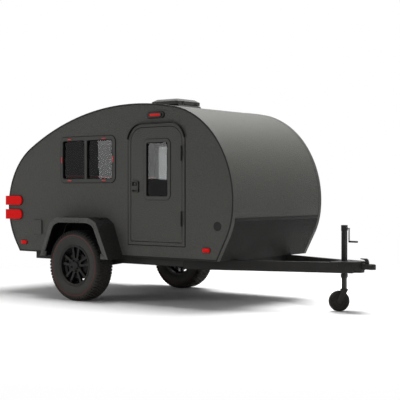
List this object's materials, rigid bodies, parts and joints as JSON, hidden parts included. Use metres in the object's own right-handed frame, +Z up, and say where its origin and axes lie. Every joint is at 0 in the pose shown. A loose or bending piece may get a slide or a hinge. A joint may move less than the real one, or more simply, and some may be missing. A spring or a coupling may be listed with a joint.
{
  "type": "teardrop trailer",
  "caption": "Off-road teardrop camping trailer with side doors, rear galley hatch, wide fenders, drawbar and a jack with a caster.",
  "frame": {"origin": "on the ground, in the middle of the trailer's length and width", "axes": "+X forwards to the coupler, +Y to the left, +Z up"},
  "size_m": [4.297, 2, 2.15],
  "materials": {
    "shell_paint": "fine textured charcoal powder coat",
    "dark_panel": "satin near-black coat",
    "edge_metal": "dark coated aluminium trim",
    "frame_black": "satin black frame",
    "hinge_black": "satin black hardware",
    "tinted_glass": "tinted acrylic",
    "fender_plastic": "grained black plastic",
    "tyre_rubber": "matt rubber",
    "wheel_black": "satin black cast wheel",
    "hub_steel": "black coated steel",
    "chassis_black": "black chassis paint",
    "jack_steel": "dark zinc plate",
    "spring_rubber": "black rubber",
    "lamp_red": "clear red lens",
    "floor_board": "dark composite board",
    "galley_wood": "lacquered plywood",
    "vent_plastic": "moulded plastic in the body colour",
    "mattress_fabric": "woven cover"
  },
  "bodies": {
    "trailer": {"roof_skin": "shell_paint", "front_lower_panel": "dark_panel", "rear_sill": "shell_paint", "floor_panel": "floor_board", "front_seam_trim": "edge_metal", "side_panel_left": "shell_paint", "side_panel_right": "shell_paint", "edge_trims": "edge_metal", "wheel_wells": "fender_plastic", "hatch_hinge_rail": "edge_metal", "window_frames": "frame_black", "window_glass": "tinted_glass", "door_frames": "edge_metal", "door_visors": "edge_metal", "door_hinge_knuckles": "hinge_black", "fender_left": "fender_plastic", "fender_right": "fender_plastic", "trailing_arms": "chassis_black", "arm_brackets": "chassis_black", "air_springs": "spring_rubber", "side_rails": "chassis_black", "cross_members": "chassis_black", "drawbar_rails": "chassis_black", "coupler": "chassis_black", "coupler_latch": "jack_steel", "jack_tube": "chassis_black", "jack_crank": "jack_steel", "tail_lamps": "lamp_red", "marker_lamps": "lamp_red", "upper_lamp_bezels": "hinge_black", "upper_lamp_lenses": "lamp_red", "service_flap": "shell_paint", "vent_base": "vent_plastic", "galley_bulkhead": "galley_wood", "galley_shelves": "galley_wood", "mattress": "mattress_fabric"},
    "wheel_left": {"tyre_left": "tyre_rubber", "wheel_rim_left": "wheel_black", "wheel_hub_left": "hub_steel"},
    "door_left": {"door_panel_left": "shell_paint", "door_window_frame_left": "frame_black", "door_glass_left": "tinted_glass", "door_handle_left": "hinge_black"},
    "wheel_right": {"tyre_right": "tyre_rubber", "wheel_rim_right": "wheel_black", "wheel_hub_right": "hub_steel"},
    "door_right": {"door_panel_right": "shell_paint", "door_window_frame_right": "frame_black", "door_glass_right": "tinted_glass", "door_handle_right": "hinge_black"},
    "hatch": {"hatch_panel": "shell_paint", "hatch_handle": "hinge_black"},
    "vent_lid": {"vent_lid": "vent_plastic"},
    "jack_leg": {"jack_leg": "jack_steel"},
    "caster_fork": {"caster_fork": "chassis_black"},
    "caster_wheel": {"caster_wheel": "spring_rubber"}
  },
  "joints": [
    {"name": "wheel_left_spin", "type": "hinge", "parent": "trailer", "child": "wheel_left", "pos_m": [-0.8865, 0.8635, 0.372], "axis": [0, 1, 0], "continuous": true},
    {"name": "wheel_right_spin", "type": "hinge", "parent": "trailer", "child": "wheel_right", "pos_m": [-0.8865, -0.8635, 0.372], "axis": [0, 1, 0], "continuous": true},
    {"name": "door_left_swing", "type": "hinge", "parent": "trailer", "child": "door_left", "pos_m": [0.4465, 0.811, 1.2085], "axis": [0, 0, -1], "range_deg": [0, 95]},
    {"name": "door_right_swing", "type": "hinge", "parent": "trailer", "child": "door_right", "pos_m": [0.4465, -0.811, 1.2085], "axis": [0, 0, 1], "range_deg": [0, 95]},
    {"name": "hatch_lift", "type": "hinge", "parent": "trailer", "child": "hatch", "pos_m": [-1.39003, 0, 1.82129], "axis": [0, 1, 0], "range_deg": [0, 75]},
    {"name": "vent_lid_tilt", "type": "hinge", "parent": "trailer", "child": "vent_lid", "pos_m": [-0.1025, 0, 2.098], "axis": [0, 1, 0], "range_deg": [0, 60]},
    {"name": "jack_slide", "type": "slide", "parent": "trailer", "child": "jack_leg", "axis": [0, 0, 1], "range_m": [-0.15, 0.095]},
    {"name": "caster_swivel", "type": "hinge", "parent": "jack_leg", "child": "caster_fork", "pos_m": [1.8135, 0, 0.216], "axis": [0, 0, 1], "continuous": true},
    {"name": "caster_roll", "type": "hinge", "parent": "caster_fork", "child": "caster_wheel", "pos_m": [1.7741, -0.03078, 0.1], "axis": [-0.6157, 0.788, 0], "continuous": true}
  ]
}
